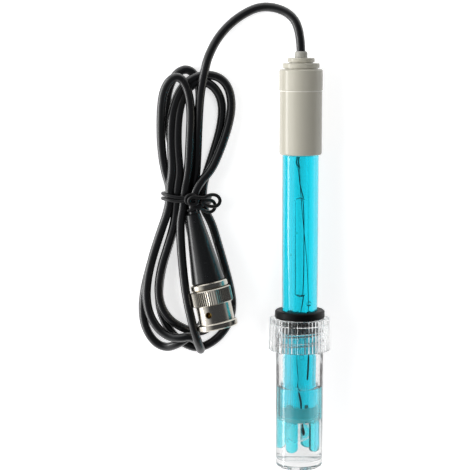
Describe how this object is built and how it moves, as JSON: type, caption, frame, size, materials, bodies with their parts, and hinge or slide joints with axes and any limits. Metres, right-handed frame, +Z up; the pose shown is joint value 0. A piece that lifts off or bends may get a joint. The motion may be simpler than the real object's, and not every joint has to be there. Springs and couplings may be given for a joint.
{
  "type": "ph electrode",
  "caption": "Laboratory combination pH electrode with tinted shaft, storage bottle with knurled cap, and a cable hank ending in a bayonet plug.",
  "frame": {"origin": "on the table, under the middle of the lying electrode (its bottle foot to its cable bush)", "axes": "+Y along the electrode from the bottle towards the cable end, +Z up from the table, +X away from the cable hank"},
  "size_m": [0.0667, 0.1585, 0.0211],
  "materials": {
    "cyan_polycarbonate": "clear cyan-tinted polycarbonate moulding",
    "ivory_abs": "warm grey-ivory ABS, fine satin",
    "grey_nylon": "pale grey nylon",
    "glass": "pH-sensitive and stem glass",
    "electrolyte": "clear gelled electrolyte",
    "storage_liquid": "clear potassium chloride solution",
    "silver_wire": "silver wire darkened with silver chloride",
    "solder": "dull solder",
    "lead_insulation": "thin wire insulation",
    "grey_silicone": "grey silicone rubber",
    "epoxy": "cast epoxy",
    "ceramic": "porous white ceramic",
    "clear_polystyrene": "clear moulded plastic",
    "black_rubber": "black rubber",
    "black_pvc": "black flexible PVC, satin",
    "tie_cord": "thin black plastic-covered cord",
    "nickel_plate": "nickel-plated brass",
    "gilt_brass": "gold-flashed brass contacts",
    "crimp_metal": "tinned brass and spring steel",
    "ptfe": "white PTFE",
    "gasket_rubber": "silicone gasket"
  },
  "bodies": {
    "root": {"body_tube": "cyan_polycarbonate", "head_sleeve": "ivory_abs", "head_cap": "ivory_abs", "cable_bush": "grey_nylon", "glass_stem": "glass", "inner_solution": "electrolyte", "reference_gel": "electrolyte", "inner_wire": "silver_wire", "reference_wire": "silver_wire", "core_solder_joint": "solder", "screen_solder_joint": "solder", "core_lead": "lead_insulation", "screen_lead": "lead_insulation", "lower_seal": "grey_silicone", "upper_stopper": "grey_silicone", "lower_potting": "epoxy", "head_potting": "epoxy", "junction_wick": "ceramic", "cable_lead": "black_pvc", "cable_hank": "black_pvc", "connector_boot": "black_pvc", "cable_tie": "tie_cord", "connector_body": "nickel_plate", "outer_contact": "gilt_brass", "centre_pin": "gilt_brass", "crimp_ferrule": "crimp_metal", "wave_washer": "crimp_metal", "contact_insulator": "ptfe", "front_gasket": "gasket_rubber"},
    "seal_group": {"bottle_seal": "black_rubber"},
    "cap_group": {"bottle_cap": "clear_polystyrene"},
    "bottle_group": {"storage_bottle": "clear_polystyrene", "storage_solution": "storage_liquid"},
    "nut_group": {"coupling_nut": "nickel_plate"}
  },
  "joints": [
    {"name": "bottle_slide", "type": "slide", "parent": "root", "child": "seal_group", "axis": [0, -0.9994, 0.0349], "range_m": [0, 0.06]},
    {"name": "cap_turn", "type": "hinge", "parent": "seal_group", "child": "cap_group", "pos_m": [0, -0.02449, 0.01037], "axis": [0, 0.9994, -0.0349], "range_deg": [0, 900]},
    {"name": "bottle_travel", "type": "slide", "parent": "seal_group", "child": "bottle_group", "axis": [0, -0.9994, 0.0349], "range_m": [0, 0.0075]},
    {"name": "nut_turn", "type": "hinge", "parent": "root", "child": "nut_group", "pos_m": [-0.02906, -0.01575, 0.01093], "axis": [0.2167, -0.9696, 0.1132], "continuous": true}
  ],
  "couplings": [
    {"joint": "cap_turn", "follows": "bottle_travel", "rad_per_m": 2094}
  ]
}
